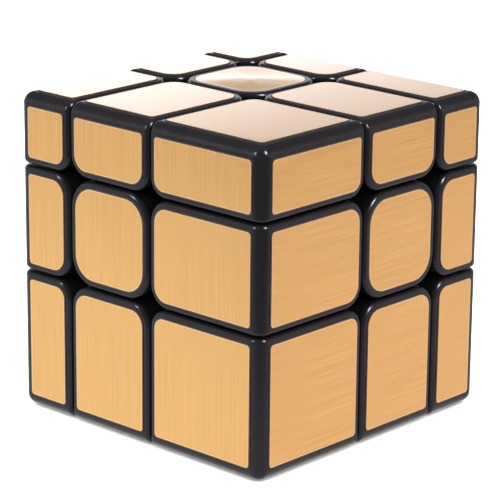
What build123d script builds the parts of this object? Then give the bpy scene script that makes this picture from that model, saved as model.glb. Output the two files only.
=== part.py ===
from build123d import *
import os
from itertools import product

# A three-layer twisting cube whose layers have unequal thickness, so that every block has its own
# size. Millimetres. Origin: middle of the underside. +X right, +Y back, +Z up.
# Every cut between two blocks is a flat or a ball surface about the core, so each face turns freely.

# Overall size and layers
cube_size = 57.0
middle_layer = 19.0
left_layer = 12.5
back_layer = 12.6
top_layer = 12.9

# Outer blocks
cube_edge_round = 2.0
seam_edge_round = 0.8
junction_round = {"centre": 5.2, "edge": 3.9, "corner": 3.3}

# Foils
foil_thickness = 0.15
foil_from_cube_edge = 2.3
foil_from_seam = 1.3
foil_corner_round = 0.8
foil_junction_round = {"centre": 4.2, "edge": 2.8, "corner": 2.1}

# Inner mechanism, as distances from the middle of the core
running_gap = 0.3
block_cut = middle_layer / 2
foot_cut = 6.5
foot_inner_radius = 12.5
hook_radius = 19.0
collar_radius = 20.0
peg_radius = 1.6
peg_length = 3.0
peg_clearance = 0.04

# Core, and the bored stem under each centre cap
core_ball_radius = 7.5
arm_radius = 3.5
arm_length = 9.0
arm_bore_bottom = 4.0
stem_radius = 4.6
stem_gap = 0.2
pocket_radius = 3.6
pocket_floor = 11.0
plug_height = 1.6
plug_clearance = 0.06

# Screw, spring and washer of each face
screw_shank_radius = 1.25
thread_clearance = 0.02
turning_clearance = 0.08
head_bottom = 16.0
head_radius = 2.7
head_height = 1.8
head_round = 0.7
slot_width = 0.7
slot_length = 3.4
slot_depth = 0.9
washer_radius = 3.2
washer_thickness = 0.4
wire_radius = 0.3
coil_radius = 2.4
coil_turns = 5
spring_gap = 0.12

half_gap = running_gap / 2
front_layer = cube_size - middle_layer - back_layer
core_centre = (
    left_layer + block_cut - cube_size / 2,
    cube_size / 2 - back_layer - block_cut,
    cube_size - top_layer - block_cut,
)
# From the core to the low and the high side of the cube, along each axis
reach = (
    (left_layer + block_cut, cube_size - left_layer - block_cut),
    (front_layer + block_cut, cube_size - front_layer - block_cut),
    (cube_size - top_layer - block_cut, top_layer + block_cut),
)
AXES = (Axis.X, Axis.Y, Axis.Z)
SIDES = ({-1: "left", 1: "right"}, {-1: "front", 1: "back"}, {-1: "bottom", 1: "top"})


def kind_of(cell):
    return ("centre", "edge", "corner")[sum(map(abs, cell)) - 1]


def side_words(cell):
    """The sides that a cell lies on, such as top_front_right."""
    return "_".join(SIDES[axis][cell[axis]] for axis in (2, 1, 0) if cell[axis])


def cell_spans(cell, cut, from_cut, from_side=0.0):
    """Low and high coordinate of a cell on each axis, kept back from each cut and cube side."""
    spans = []
    for index, (low, high) in zip(cell, reach):
        if index < 0:
            spans.append((from_side - low, -cut - from_cut))
        elif index > 0:
            spans.append((cut + from_cut, high - from_side))
        else:
            spans.append((from_cut - cut, cut - from_cut))
    return spans


def box_from(spans):
    """A solid box that fills the three spans."""
    corner = [low for low, high in spans]
    sizes = [high - low for low, high in spans]
    return Pos(*corner) * Box(*sizes, align=(Align.MIN, Align.MIN, Align.MIN))


def sides_met(edge, spans, cell):
    """How many of the cell's cube sides the middle of an edge lies on."""
    middle = tuple(edge.position_at(0.5))
    return sum(
        abs(middle[axis] - spans[axis][index > 0]) < 1e-3 for axis, index in enumerate(cell) if index
    )


def sharp_edges(solid):
    """The edges where two faces still meet at an angle."""
    normals = {}
    for face in solid.faces():
        for edge in face.edges():
            normals.setdefault(edge, []).append(face.normal_at(edge.position_at(0.5)))
    return [edge for edge, (one, other) in normals.items() if one.get_angle(other) > 10]


def rounded_block(cell):
    """The outside of a block, still full on the side towards the core."""
    spans = cell_spans(cell, block_cut, half_gap, foil_thickness)
    block = box_from(spans)
    junctions = [edge for edge in block.edges() if sides_met(edge, spans, cell) == 0]
    block = fillet(junctions, junction_round[kind_of(cell)])
    cube_edges = [edge for edge in block.edges() if sides_met(edge, spans, cell) == 2]
    if cube_edges:
        block = fillet(cube_edges, cube_edge_round)
    return fillet(sharp_edges(block), seam_edge_round)


def along(direction):
    """Turns a piece built along +Z until it points from the core in the given direction."""
    return Plane(origin=(0, 0, 0), z_dir=direction).location


def rod(radius, low, high):
    """A round bar along +Z between two heights."""
    return Pos(0, 0, low) * Cylinder(radius, high - low, align=(Align.CENTER, Align.CENTER, Align.MIN))


def foot(cell):
    """The inner part: it hooks under the neighbours' collars, and its own collar carries the block."""
    inner = box_from(cell_spans(cell, foot_cut, half_gap))
    outer = box_from(cell_spans(cell, block_cut, half_gap))
    hook = inner & Sphere(hook_radius - running_gap)
    neck = inner & outer & Sphere(hook_radius + half_gap)
    collar = (outer & Sphere(collar_radius)) - Sphere(hook_radius)
    return hook + neck + collar - Sphere(foot_inner_radius)


def centre_solids(cell):
    """A centre: its cap, whose plug closes the screw pocket, and its bored base."""
    turn = along(cell)
    stem = rod(stem_radius, arm_length + stem_gap, foot_inner_radius + 1)
    pocket = rod(pocket_radius, pocket_floor, collar_radius + 1)
    bore = rod(screw_shank_radius + turning_clearance, arm_length, pocket_floor + 1)
    base = foot(cell) + turn * stem - turn * pocket - turn * bore
    plug = rod(pocket_radius - plug_clearance, collar_radius - plug_height, collar_radius + half_gap)
    cap = rounded_block(cell) - Sphere(collar_radius) + turn * plug
    return [cap, base]


def hooked_solids(cell):
    """An edge or a corner: its block, and the hooked foot that is pegged into it."""
    turn = along(cell)
    peg = rod(peg_radius, hook_radius, collar_radius + peg_length)
    hole = rod(peg_radius + peg_clearance, hook_radius, collar_radius + peg_length + half_gap)
    block = rounded_block(cell) - Sphere(collar_radius) - turn * hole
    return [block, foot(cell) + turn * peg]


def foil(cell, axis):
    """The foil on one cube side of a block, with a larger round where four blocks meet."""
    spans = cell_spans(cell, block_cut, foil_from_seam, foil_from_cube_edge)
    low, high = reach[axis]
    spans[axis] = (-low, foil_thickness - low) if cell[axis] < 0 else (high - foil_thickness, high)
    beside = [0 if other == axis else index for other, index in enumerate(cell)]
    plate = box_from(spans)
    uprights = plate.edges().filter_by(AXES[axis])
    junctions = [edge for edge in uprights if sides_met(edge, spans, beside) == 0]
    plate = fillet(junctions, foil_junction_round[kind_of(cell)])
    uprights = plate.edges().filter_by(AXES[axis])
    others = [edge for edge in uprights if sides_met(edge, spans, beside) > 0]
    return fillet(others, foil_corner_round) if others else plate


def core():
    """The ball with six bored arms that all six screws go into."""
    body = Sphere(core_ball_radius)
    for direction in CENTRES:
        body += along(direction) * rod(arm_radius, 0, arm_length)
    for direction in CENTRES:
        bore = rod(screw_shank_radius + thread_clearance, arm_bore_bottom, arm_length + 1)
        body -= along(direction) * bore
    return body


def screw():
    """A round-headed screw with a cross slot, along +Z."""
    head = rod(head_radius, head_bottom, head_bottom + head_height)
    head = fillet(head.edges().group_by(Axis.Z)[-1], head_round)
    top = head_bottom + head_height
    slot = Pos(0, 0, top) * Box(slot_length, slot_width, 2 * slot_depth)
    shank = rod(screw_shank_radius, arm_bore_bottom, head_bottom)
    return head + shank - slot - Rot(0, 0, 90) * slot


def washer():
    """The flat ring under a screw head."""
    low, high = head_bottom - washer_thickness, head_bottom
    return rod(washer_radius, low, high) - rod(screw_shank_radius + turning_clearance, low, high)


def spring():
    """The coil spring between the pocket floor and the washer."""
    low = pocket_floor + spring_gap + wire_radius
    high = head_bottom - washer_thickness - wire_radius
    path = Pos(0, 0, low) * Helix((high - low) / coil_turns, high - low, coil_radius)
    section = Plane(origin=path @ 0, z_dir=path % 0) * Circle(wire_radius)
    return sweep(section, path=path)


def write(name, solids):
    """Moves the solids of one node from the core to their place in the cube, and writes its file."""
    placed = [Pos(*core_centre) * solid for piece in solids for solid in piece.solids()]
    shape = placed[0] if len(placed) == 1 else Compound(placed)
    export_step(shape, f"parts/{name}.step")


CELLS = [cell for cell in product((-1, 0, 1), repeat=3) if any(cell)]
CENTRES = [cell for cell in CELLS if kind_of(cell) == "centre"]

os.makedirs("parts", exist_ok=True)
write("core", [core()])
write("core_screws", [along(direction) * screw() for direction in CENTRES])
write("spring_washers", [along(direction) * washer() for direction in CENTRES])
write("tension_springs", [along(direction) * spring() for direction in CENTRES])
for cell in CELLS:
    kind = kind_of(cell)
    solids = centre_solids(cell) if kind == "centre" else hooked_solids(cell)
    foils = [foil(cell, axis) for axis in range(3) if cell[axis]]
    write(f"{side_words(cell)}_{kind}", solids)
    write(f"{side_words(cell)}_foil{'s' if len(foils) > 1 else ''}", foils)
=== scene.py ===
import math
from itertools import product

import bmesh
import bpy
from mathutils import Matrix, Vector


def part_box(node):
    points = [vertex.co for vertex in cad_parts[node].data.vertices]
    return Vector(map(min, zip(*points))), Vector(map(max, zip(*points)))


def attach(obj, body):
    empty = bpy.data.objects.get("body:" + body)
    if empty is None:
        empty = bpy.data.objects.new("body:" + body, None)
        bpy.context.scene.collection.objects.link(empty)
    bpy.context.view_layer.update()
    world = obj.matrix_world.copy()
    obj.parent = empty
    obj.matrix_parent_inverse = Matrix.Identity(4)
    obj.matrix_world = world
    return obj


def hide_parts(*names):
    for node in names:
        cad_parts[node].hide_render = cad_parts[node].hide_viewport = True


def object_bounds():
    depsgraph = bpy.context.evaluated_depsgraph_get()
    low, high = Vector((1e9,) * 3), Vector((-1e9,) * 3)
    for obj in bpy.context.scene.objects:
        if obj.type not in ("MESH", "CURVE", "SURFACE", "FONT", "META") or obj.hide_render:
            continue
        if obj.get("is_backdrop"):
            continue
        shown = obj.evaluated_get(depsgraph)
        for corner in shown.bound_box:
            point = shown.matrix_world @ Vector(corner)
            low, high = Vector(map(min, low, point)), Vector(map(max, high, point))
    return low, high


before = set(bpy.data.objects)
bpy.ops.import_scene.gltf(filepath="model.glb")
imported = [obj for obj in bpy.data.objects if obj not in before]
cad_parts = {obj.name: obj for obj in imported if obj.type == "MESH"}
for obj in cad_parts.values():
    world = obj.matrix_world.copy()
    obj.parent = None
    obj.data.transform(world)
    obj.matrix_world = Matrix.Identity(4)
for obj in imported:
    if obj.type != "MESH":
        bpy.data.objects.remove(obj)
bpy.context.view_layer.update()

# ---------------------------------------------------------------------------------------------
# Core. One glass-filled nylon moulding: a ball with six bored arms, slightly chalky where the
# tool surface left it dull. Every screw goes into it and every foot slides round it.

def start_material(name):
    """An empty node material with its surface shader."""
    material = bpy.data.materials.new(name)
    material.use_nodes = True
    return material, material.node_tree, material.node_tree.nodes["Principled BSDF"]


def object_noise(tree, scale, detail=3.0, stretch=(1, 1, 1)):
    """Noise that is fixed to the piece, stretched along the axes with a small factor."""
    place = tree.nodes.new("ShaderNodeTexCoord")
    mapping = tree.nodes.new("ShaderNodeMapping")
    mapping.inputs["Scale"].default_value = stretch
    noise = tree.nodes.new("ShaderNodeTexNoise")
    noise.inputs["Scale"].default_value = scale
    noise.inputs["Detail"].default_value = detail
    tree.links.new(place.outputs["Object"], mapping.inputs["Vector"])
    tree.links.new(mapping.outputs["Vector"], noise.inputs["Vector"])
    return noise


NOISE_LOW, NOISE_HIGH = 0.3, 0.7        # nearly all of a noise lies between these


def spread(tree, source, low, high):
    """The middle of a noise mapped on to a range."""
    mapped = tree.nodes.new("ShaderNodeMapRange")
    mapped.inputs["From Min"].default_value = NOISE_LOW
    mapped.inputs["From Max"].default_value = NOISE_HIGH
    mapped.inputs["To Min"].default_value = low
    mapped.inputs["To Max"].default_value = high
    tree.links.new(source.outputs["Fac"], mapped.inputs["Value"])
    return mapped.outputs["Result"]


def bump(tree, shader, source, height):
    """Raises the surface by a noise, with the height in metres."""
    node = tree.nodes.new("ShaderNodeBump")
    node.inputs["Strength"].default_value = 1.0
    node.inputs["Distance"].default_value = height
    tree.links.new(source.outputs["Fac"], node.inputs["Height"])
    tree.links.new(node.outputs["Normal"], shader.inputs["Normal"])


def paint(node_name, material):
    """Gives a CAD node its finish."""
    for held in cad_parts[node_name].material_slots:
        held.material = material


NYLON_BLACK = (0.028, 0.028, 0.030, 1)
NYLON_IOR = 1.53
NYLON_GRAIN_SCALE, NYLON_GRAIN_HEIGHT = 1400.0, 0.00001

nylon, tree, shader = start_material("core_nylon")
shader.inputs["Base Color"].default_value = NYLON_BLACK
shader.inputs["IOR"].default_value = NYLON_IOR
grain = object_noise(tree, NYLON_GRAIN_SCALE)
tree.links.new(spread(tree, grain, 0.42, 0.58), shader.inputs["Roughness"])
bump(tree, shader, grain, NYLON_GRAIN_HEIGHT)
paint("core", nylon)

# ---------------------------------------------------------------------------------------------
# Screws, washers and springs. Six zinc-plated screws hold the centres to the core, each through
# a stamped washer and a spring of drawn wire that pulls the centre inwards.

POLISH_HEIGHT = 0.000004


def metal(name, colour, roughest, smoothest, noise_scale):
    """A bare metal with a mottled polish."""
    material, tree, shader = start_material(name)
    shader.inputs["Base Color"].default_value = (*colour, 1)
    shader.inputs["Metallic"].default_value = 1.0
    mottle = object_noise(tree, noise_scale)
    tree.links.new(spread(tree, mottle, smoothest, roughest), shader.inputs["Roughness"])
    bump(tree, shader, mottle, POLISH_HEIGHT)
    return material


paint("core_screws", metal("zinc_plate", (0.62, 0.62, 0.58), 0.38, 0.22, 900.0))
paint("spring_washers", metal("tumbled_steel", (0.56, 0.56, 0.55), 0.5, 0.3, 1600.0))
paint("tension_springs", metal("drawn_wire", (0.44, 0.44, 0.45), 0.32, 0.18, 2500.0))

# ---------------------------------------------------------------------------------------------
# Blocks. Glossy black styrene mouldings, one for each of the 26 places, with rounded edges and a
# deeper round where four of them meet. The surface has the faint waviness of moulded plastic.

STYRENE_BLACK = (0.0045, 0.0042, 0.0050, 1)
STYRENE_IOR = 1.40
STYRENE_SHEEN = (0.88, 0.85, 1.0, 1)
RIPPLE_SCALE, RIPPLE_HEIGHT = 350.0, 0.000006
POLISH_SCALE = 700.0

gloss, tree, shader = start_material("black_gloss")
shader.inputs["Base Color"].default_value = STYRENE_BLACK
shader.inputs["IOR"].default_value = STYRENE_IOR
shader.inputs["Specular Tint"].default_value = STYRENE_SHEEN
ripple = object_noise(tree, RIPPLE_SCALE, 2.0)
polish = object_noise(tree, POLISH_SCALE, 4.0)
tree.links.new(spread(tree, polish, 0.15, 0.24), shader.inputs["Roughness"])
bump(tree, shader, ripple, RIPPLE_HEIGHT)

SIDES = ({-1: "left", 1: "right"}, {-1: "front", 1: "back"}, {-1: "bottom", 1: "top"})
KINDS = {1: "centre", 2: "edge", 3: "corner"}
CELLS = [cell for cell in product((-1, 0, 1), repeat=3) if any(cell)]


def side_words(cell):
    """The sides that a block lies on, such as top_front_right."""
    return "_".join(SIDES[axis][cell[axis]] for axis in (2, 1, 0) if cell[axis])


def block_name(cell):
    """The CAD node and body of a block, such as top_front_edge."""
    return f"{side_words(cell)}_{KINDS[sum(map(abs, cell))]}"


for cell in CELLS:
    paint(block_name(cell), gloss)

# ---------------------------------------------------------------------------------------------
# Foils. Brushed gold film under a clear lacquer, die-cut with a deeper round where four blocks
# meet and pressed on by hand: one on every outer side of a block. The cut sides of the film are
# brown, and a dark brown band round the face is painted edge shade. Inside it a lowered rim
# catches the light and is painted a lighter gold, a painted highlight. The film bulges a little
# on the six centres.

FOIL_FROM_CUBE_EDGE = 0.0023
FOIL_THICKNESS = 0.00015
FOIL_CORNER = 0.0008
FOIL_JUNCTION = {"centre": 0.0042, "edge": 0.0028, "corner": 0.0021}
ROUND_SEGMENTS = 9
# Width of the dark brown band round the face of a foil: painted edge shade
SHADE_BAND_WIDTH = 0.0002
RIM_WIDTH = 0.0001
RIM_DROP = 0.00002
BULGE = 0.000125
BULGE_POWER = 1.12
BULGE_RINGS = 12
FILM_FINISH, RIM_FINISH, CUT_AND_SHADE_FINISH = 0, 1, 2        # the material slots of a foil
GRAIN_AXIS = (1, 2, 0)        # grain on the left and right, front and back, bottom and top
GRAIN_SCALE, GRAIN_ALONG = 6000.0, 0.008
GRAIN_HEIGHT = 0.000008
GOLD = (0.84, 0.465, 0.140)
DARKEST_GOLD, LIGHTEST_GOLD = 0.85, 1.12
LACQUER_ROUGHNESS, LACQUER_IOR = 0.03, 1.6
# Lighter gold of the rim band: a painted highlight, added to the light that the lowered rim catches
RIM_HIGHLIGHT_GOLD = (1.0, 0.74, 0.44, 1)
# Dark brown of the film's cut sides and of the band round its face; on the face it is painted edge
# shade
CUT_AND_SHADE_BROWN = (0.050, 0.019, 0.006, 1)


def gold_shade(share):
    """The gold made darker or lighter."""
    return (*(share * part for part in GOLD), 1)


def gold_film(axis):
    """Gold film with fine straight scratches along one axis."""
    material, tree, shader = start_material("gold_film_" + "xyz"[axis])
    shader.inputs["Metallic"].default_value = 1.0
    shader.inputs["Coat Weight"].default_value = 1.0
    shader.inputs["Coat Roughness"].default_value = LACQUER_ROUGHNESS
    shader.inputs["Coat IOR"].default_value = LACQUER_IOR
    along = [1.0, 1.0, 1.0]
    along[axis] = GRAIN_ALONG
    scratches = object_noise(tree, GRAIN_SCALE, 4.0, along)
    scratches.inputs["Roughness"].default_value = 0.7
    tree.links.new(spread(tree, scratches, 0.27, 0.42), shader.inputs["Roughness"])
    bump(tree, shader, scratches, GRAIN_HEIGHT)
    tone = tree.nodes.new("ShaderNodeMix")
    tone.data_type = "RGBA"
    tone.inputs[6].default_value = gold_shade(DARKEST_GOLD)
    tone.inputs[7].default_value = gold_shade(LIGHTEST_GOLD)
    tree.links.new(spread(tree, scratches, 0.0, 1.0), tone.inputs[0])
    tree.links.new(tone.outputs[2], shader.inputs["Base Color"])
    return material


def foil_plate(name, low, high, axis, side, junctions, junction_round, bulge):
    """A thin plate between two corners, with a rounded outline, a rim, and perhaps a dome."""
    mesh = bmesh.new()
    bmesh.ops.create_cube(mesh, size=1.0)
    bmesh.ops.scale(mesh, vec=high - low, verts=mesh.verts)
    bmesh.ops.translate(mesh, vec=(low + high) / 2, verts=mesh.verts)
    uprights = [edge for edge in mesh.edges
                if abs((edge.verts[0].co - edge.verts[1].co)[axis]) > FOIL_THICKNESS / 2]
    deep = [edge for edge in uprights
            if any(((edge.verts[0].co + edge.verts[1].co) / 2 - point).length < FOIL_THICKNESS
                   for point in junctions)]
    plain = [edge for edge in uprights if edge not in deep]
    for edges, radius in ((deep, junction_round), (plain, FOIL_CORNER)):
        bmesh.ops.bevel(mesh, geom=edges, offset=radius, segments=ROUND_SEGMENTS,
                        affect="EDGES", profile=0.5, material=-1)
    outwards = Vector([side if other == axis else 0 for other in range(3)])
    mesh.normal_update()
    face = max(mesh.faces, key=lambda held: held.normal.dot(outwards) * held.calc_area())
    for held in mesh.faces:
        if abs(held.normal.dot(outwards)) < 0.5:
            held.material_index = CUT_AND_SHADE_FINISH
    rim = list(face.verts)
    bmesh.ops.translate(mesh, vec=outwards * -bulge, verts=rim)
    # The outer band is painted dark edge shade; the next is the rim, painted a lighter gold as a
    # painted highlight.
    for width, finish in ((SHADE_BAND_WIDTH, CUT_AND_SHADE_FINISH), (RIM_WIDTH, RIM_FINISH)):
        made = bmesh.ops.inset_individual(mesh, faces=[face], thickness=width, use_even_offset=True)
        for held in made["faces"]:
            held.material_index = finish
    bmesh.ops.translate(mesh, vec=outwards * -RIM_DROP, verts=rim)
    if bulge:
        for ring in range(1, BULGE_RINGS):
            before, after = 1 - (ring - 1) / BULGE_RINGS, 1 - ring / BULGE_RINGS
            face = bmesh.ops.extrude_discrete_faces(mesh, faces=[face])["faces"][0]
            bmesh.ops.scale(mesh, vec=Vector((1, 1, 1)) * after / before, verts=list(face.verts),
                            space=Matrix.Translation(-face.calc_center_median()))
            bmesh.ops.translate(
                mesh, vec=outwards * bulge * (before ** BULGE_POWER - after ** BULGE_POWER),
                verts=list(face.verts))
        for held in mesh.faces:
            held.smooth = held.material_index == FILM_FINISH
    bmesh.ops.recalc_face_normals(mesh, faces=mesh.faces)
    finished = bpy.data.meshes.new(name)
    mesh.to_mesh(finished)
    mesh.free()
    piece = bpy.data.objects.new(name, finished)
    bpy.context.scene.collection.objects.link(piece)
    return piece


# The rim band is lowered so that it catches the light, and is also painted a lighter gold as a
# painted highlight.
rim_highlight, tree, shader = start_material("rim_painted_highlight")
shader.inputs["Base Color"].default_value = RIM_HIGHLIGHT_GOLD
shader.inputs["Metallic"].default_value = 1.0
tree.links.new(spread(tree, object_noise(tree, 1500.0), 0.3, 0.5), shader.inputs["Roughness"])
# The film's cut sides and a band round its face, in dark brown; the band on the face is painted
# edge shade.
cut_edge_and_painted_shade, tree, shader = start_material("cut_edge_and_painted_shade")
shader.inputs["Base Color"].default_value = CUT_AND_SHADE_BROWN
tree.links.new(spread(tree, object_noise(tree, 2500.0), 0.4, 0.6), shader.inputs["Roughness"])
films = [gold_film(axis) for axis in GRAIN_AXIS]
for cell in CELLS:
    kind = KINDS[sum(map(abs, cell))]
    node = f"{side_words(cell)}_foil" + ("" if kind == "centre" else "s")
    node_low, node_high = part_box(node)
    for axis in range(3):
        if not cell[axis]:
            continue
        low, high = Vector(node_low), Vector(node_high)
        for other in range(3):
            if other != axis and cell[other] < 0:
                low[other] += FOIL_FROM_CUBE_EDGE
            elif other != axis and cell[other] > 0:
                high[other] -= FOIL_FROM_CUBE_EDGE
        if cell[axis] < 0:
            high[axis] = low[axis] + FOIL_THICKNESS
        else:
            low[axis] = high[axis] - FOIL_THICKNESS
        one, two = [other for other in range(3) if other != axis]
        junctions = []
        for first, second in product((-1, 1), repeat=2):
            if first * cell[one] <= 0 and second * cell[two] <= 0:
                point = (low + high) / 2
                point[one] = high[one] if first > 0 else low[one]
                point[two] = high[two] if second > 0 else low[two]
                junctions.append(point)
        piece = foil_plate(f"{node}_{SIDES[axis][cell[axis]]}_side", low, high, axis, cell[axis],
                           junctions, FOIL_JUNCTION[kind], BULGE if kind == "centre" else 0)
        for finish in (films[axis], rim_highlight, cut_edge_and_painted_shade):
            piece.data.materials.append(finish)
        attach(piece, block_name(cell))
        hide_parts(node)

# ---------------------------------------------------------------------------------------------
# Camera. A long lens from the right front, a little above the cube.

CAMERA_TARGET = Vector((-0.0001, -0.0002, 0.0283))
CAMERA_DISTANCE = 0.4495
CAMERA_AZIMUTH = math.radians(42.66)
CAMERA_ELEVATION = math.radians(16.63)
CAMERA_ROLL = math.radians(0.55)
CAMERA_LENS = 185.0


def direction(azimuth, elevation):
    """The direction of a place seen from the cube: azimuth 0 is in front, 90 to the right."""
    return Vector((
        math.sin(azimuth) * math.cos(elevation),
        -math.cos(azimuth) * math.cos(elevation),
        math.sin(elevation),
    ))


camera = bpy.data.objects.new("camera", bpy.data.cameras.new("camera"))
camera.data.lens = CAMERA_LENS
camera.data.sensor_width = 36.0
camera.data.clip_start = 0.01
camera.data.clip_end = 20.0
bpy.context.scene.collection.objects.link(camera)
back = direction(CAMERA_AZIMUTH, CAMERA_ELEVATION)
camera.location = CAMERA_TARGET + back * CAMERA_DISTANCE
camera.rotation_mode = "QUATERNION"
roll = Matrix.Rotation(CAMERA_ROLL, 4, "Z").to_quaternion()
camera.rotation_quaternion = back.to_track_quat("Z", "Y") @ roll
bpy.context.scene.camera = camera
bpy.context.scene.view_settings.view_transform = "Standard"

# ---------------------------------------------------------------------------------------------
# Tent. A white room lit evenly. What the gloss mirrors is dim in front of the cube and in a belt
# below the ceiling, white at both sides, and brightest low behind the cube on the left. A small
# dark shape behind the cube shows as a tan patch in the domed foil of the top centre.

DIFFUSE_LEVEL = 3.0
DIM_LEVEL, SIDE_LEVEL, BEHIND_LEVEL = 0.22, 1.0, 0.55
LAMP_LEVEL, FALLEN_LEVEL, LAMP_FOOT_SHARE = 2.15, 0.25, 0.35
LEFT_TINT = (1.0, 1.0, 0.96, 1)
RIGHT_TINT = (0.88, 0.81, 0.77, 1)
LAMP_TINT = (0.90, 0.91, 0.98, 1)
BELT_SHARE, CEILING_SHARE, DARK_SHARE = 0.36, 0.55, 0.35
# The start and end of each change, as the reach of a direction of length 1 along an axis
BELT_COMES, CEILING_COMES = (0.20, 0.55), (0.60, 0.90)
FRONT_ENDS, BEHIND_COMES = (-0.9, -0.1), (0.0, 0.7)
LAMP_COMES, LAMP_FALLS = (0.5, 0.85), (0.195, 0.25)
LAMP_FOOT_ENDS, LAMP_TOP_ENDS = (0.190, 0.206), (0.25, 0.29)
LAMP_TILT = 0.22
DARK_COMES, DARK_ENDS, DARK_SIDE_ENDS = (0.2440, 0.2470), (0.30, 0.34), (0.012, 0.030)
TINT_TURNS = (-0.6, 0.6)
away = -direction(CAMERA_AZIMUTH, 0.0)
rightwards = away.cross(Vector((0, 0, 1)))


def along_axis(tree, vector_socket, axis):
    """How far a vector reaches along an axis."""
    dot = tree.nodes.new("ShaderNodeVectorMath")
    dot.operation = "DOT_PRODUCT"
    dot.inputs[1].default_value = axis
    tree.links.new(vector_socket, dot.inputs[0])
    return dot.outputs["Value"]


def ramp(tree, value, span, at_low, at_high):
    """A smooth change of level while a value goes over a span."""
    mapped = tree.nodes.new("ShaderNodeMapRange")
    mapped.interpolation_type = "SMOOTHSTEP"
    mapped.inputs["From Min"].default_value = span[0]
    mapped.inputs["From Max"].default_value = span[1]
    mapped.inputs["To Min"].default_value = at_low
    mapped.inputs["To Max"].default_value = at_high
    tree.links.new(value, mapped.inputs["Value"])
    return mapped.outputs["Result"]


def combine(tree, operation, *values):
    """Adds, multiplies or otherwise combines levels, two at a time."""
    total = values[0]
    for value in values[1:]:
        node = tree.nodes.new("ShaderNodeMath")
        node.operation = operation
        tree.links.new(total, node.inputs[0])
        tree.links.new(value, node.inputs[1])
        total = node.outputs["Value"]
    return total


def mixed_colour(tree, share, none, full):
    """A colour between two, each of which is a colour or the socket of one."""
    mix = tree.nodes.new("ShaderNodeMix")
    mix.data_type = "RGBA"
    tree.links.new(share, mix.inputs[0])
    for socket, colour in ((mix.inputs[6], none), (mix.inputs[7], full)):
        if isinstance(colour, tuple):
            socket.default_value = colour
        else:
            tree.links.new(colour, socket)
    return mix.outputs[2]


def level_round(tree, way, front_ends):
    """The mirrored level round the cube, from the front to behind."""
    behind = along_axis(tree, way, away)
    return combine(tree, "MINIMUM", ramp(tree, behind, front_ends, DIM_LEVEL, SIDE_LEVEL),
                   ramp(tree, behind, BEHIND_COMES, SIDE_LEVEL, BEHIND_LEVEL))


def tint_round(tree, way):
    """The mirrored tint, warmer on the right of the cube than on the left."""
    rightness = ramp(tree, along_axis(tree, way, rightwards), TINT_TURNS, 0.0, 1.0)
    return mixed_colour(tree, rightness, LEFT_TINT, RIGHT_TINT)


world = bpy.data.worlds.new("tent")
bpy.context.scene.world = world
world.use_nodes = True
tree = world.node_tree
seen = tree.nodes.new("ShaderNodeTexCoord").outputs["Generated"]
height = along_axis(tree, seen, (0, 0, 1))
belt = combine(tree, "MAXIMUM", ramp(tree, height, BELT_COMES, 1.0, BELT_SHARE),
               ramp(tree, height, CEILING_COMES, 0.0, CEILING_SHARE))
room = combine(tree, "MULTIPLY", level_round(tree, seen, FRONT_ENDS), belt)
lamp_share = ramp(tree, along_axis(tree, seen, away), LAMP_COMES, 0.0, 1.0)
fall = (rightwards * LAMP_TILT + Vector((0, 0, 1))).normalized()
lamp_light = combine(tree, "MULTIPLY", lamp_share,
                     ramp(tree, along_axis(tree, seen, fall), LAMP_FALLS, LAMP_LEVEL, FALLEN_LEVEL),
                     ramp(tree, height, LAMP_FOOT_ENDS, LAMP_FOOT_SHARE, 1.0),
                     ramp(tree, height, LAMP_TOP_ENDS, 1.0, 0.0))
sideways = tree.nodes.new("ShaderNodeMath")
sideways.operation = "ABSOLUTE"
tree.links.new(along_axis(tree, seen, rightwards), sideways.inputs[0])
dark_shape = combine(tree, "MULTIPLY", ramp(tree, height, DARK_COMES, 0.0, 1.0),
                     ramp(tree, height, DARK_ENDS, 1.0, 0.0),
                     ramp(tree, sideways.outputs["Value"], DARK_SIDE_ENDS, 1.0, 0.0))
mirrored = combine(tree, "MULTIPLY", combine(tree, "ADD", room, lamp_light),
                   ramp(tree, dark_shape, (0.0, 1.0), 1.0, DARK_SHARE))
path = tree.nodes.new("ShaderNodeLightPath")
choice = tree.nodes.new("ShaderNodeMix")
choice.inputs[2].default_value = DIFFUSE_LEVEL
tree.links.new(path.outputs["Is Glossy Ray"], choice.inputs[0])
tree.links.new(mirrored, choice.inputs[3])
tree.links.new(combine(tree, "MAXIMUM", choice.outputs[0], path.outputs["Is Camera Ray"]),
               tree.nodes["Background"].inputs["Strength"])
mirrored_tint = mixed_colour(tree, lamp_share, tint_round(tree, seen), LAMP_TINT)
tint = mixed_colour(tree, path.outputs["Is Glossy Ray"], (1, 1, 1, 1), mirrored_tint)
tree.links.new(tint, tree.nodes["Background"].inputs["Color"])

# ---------------------------------------------------------------------------------------------
# Floor. A wide sheet of matt white paper. In the gloss it is swapped for a glow of painted light,
# dimmer towards the front, warmer on the right, and fading a little away from the cube.

FLOOR_SIZE = 6.0
PAPER = 0.93
FLOOR_FRONT_ENDS = (-0.13, -0.03)
FLOOR_FADES, FLOOR_FAR_SHARE = (0.15, 0.22), 0.80

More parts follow.
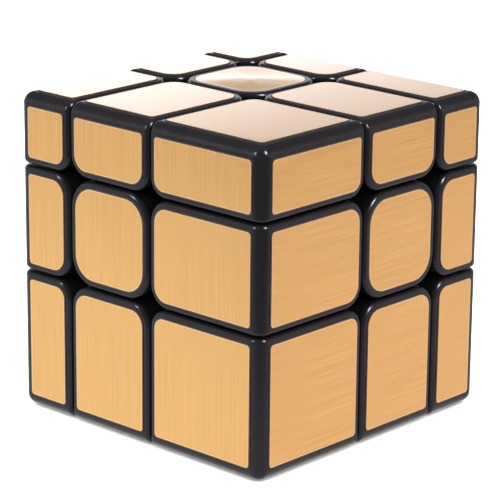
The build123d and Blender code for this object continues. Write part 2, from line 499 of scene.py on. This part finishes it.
mesh = bmesh.new()
bmesh.ops.create_grid(mesh, x_segments=1, y_segments=1, size=FLOOR_SIZE / 2)
floor_mesh = bpy.data.meshes.new("floor")
mesh.to_mesh(floor_mesh)
mesh.free()
floor = bpy.data.objects.new("floor", floor_mesh)
bpy.context.scene.collection.objects.link(floor)
paper, tree, shader = start_material("white_paper")
shader.inputs["Base Color"].default_value = (PAPER, PAPER, PAPER, 1)
shader.inputs["Specular IOR Level"].default_value = 0.0
shader.inputs["Roughness"].default_value = 0.9
# Painted light: the glow that glossy rays see in place of the paper.
glow = tree.nodes.new("ShaderNodeEmission")
spot = tree.nodes.new("ShaderNodeTexCoord").outputs["Object"]
way = tree.nodes.new("ShaderNodeVectorMath")
way.operation = "NORMALIZE"
tree.links.new(spot, way.inputs[0])
reach = tree.nodes.new("ShaderNodeVectorMath")
reach.operation = "LENGTH"
tree.links.new(spot, reach.inputs[0])
fade = ramp(tree, reach.outputs["Value"], FLOOR_FADES, 1.0, FLOOR_FAR_SHARE)
level = combine(tree, "MULTIPLY", level_round(tree, spot, FLOOR_FRONT_ENDS), fade)
tree.links.new(level, glow.inputs["Strength"])
tree.links.new(tint_round(tree, way.outputs["Vector"]), glow.inputs["Color"])
either = tree.nodes.new("ShaderNodeMixShader")
tree.links.new(tree.nodes.new("ShaderNodeLightPath").outputs["Is Glossy Ray"], either.inputs[0])
tree.links.new(shader.outputs["BSDF"], either.inputs[1])
tree.links.new(glow.outputs["Emission"], either.inputs[2])
tree.links.new(either.outputs["Shader"], tree.nodes["Material Output"].inputs["Surface"])
floor_mesh.materials.append(paper)
floor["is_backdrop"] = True

# ---------------------------------------------------------------------------------------------
# Softboxes. One at each side of the cube, well apart, so that each rounded corner shows two
# dots. They only put highlights on the gloss, and cast no shadow on the paper.

SOFTBOX_DISTANCE = 1.0
SOFTBOXES = (        # azimuth and elevation in degrees, width and height in metres, power in watts
    ("left", -27.0, 31.0, 0.16, 0.30, 3.9),
    ("right", 92.0, 43.0, 0.26, 0.44, 14.0),
)

for name, azimuth, elevation, width, tall, power in SOFTBOXES:
    softbox = bpy.data.lights.new(f"{name}_softbox", "AREA")
    softbox.shape = "RECTANGLE"
    softbox.size = width
    softbox.size_y = tall
    softbox.energy = power
    lamp = bpy.data.objects.new(f"{name}_softbox", softbox)
    bpy.context.scene.collection.objects.link(lamp)
    lamp.visible_camera = False
    lamp.visible_diffuse = False
    towards = direction(math.radians(azimuth), math.radians(elevation))
    lamp.location = towards * SOFTBOX_DISTANCE
    lamp.rotation_mode = "QUATERNION"
    lamp.rotation_quaternion = towards.to_track_quat("Z", "Y")

low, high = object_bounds()
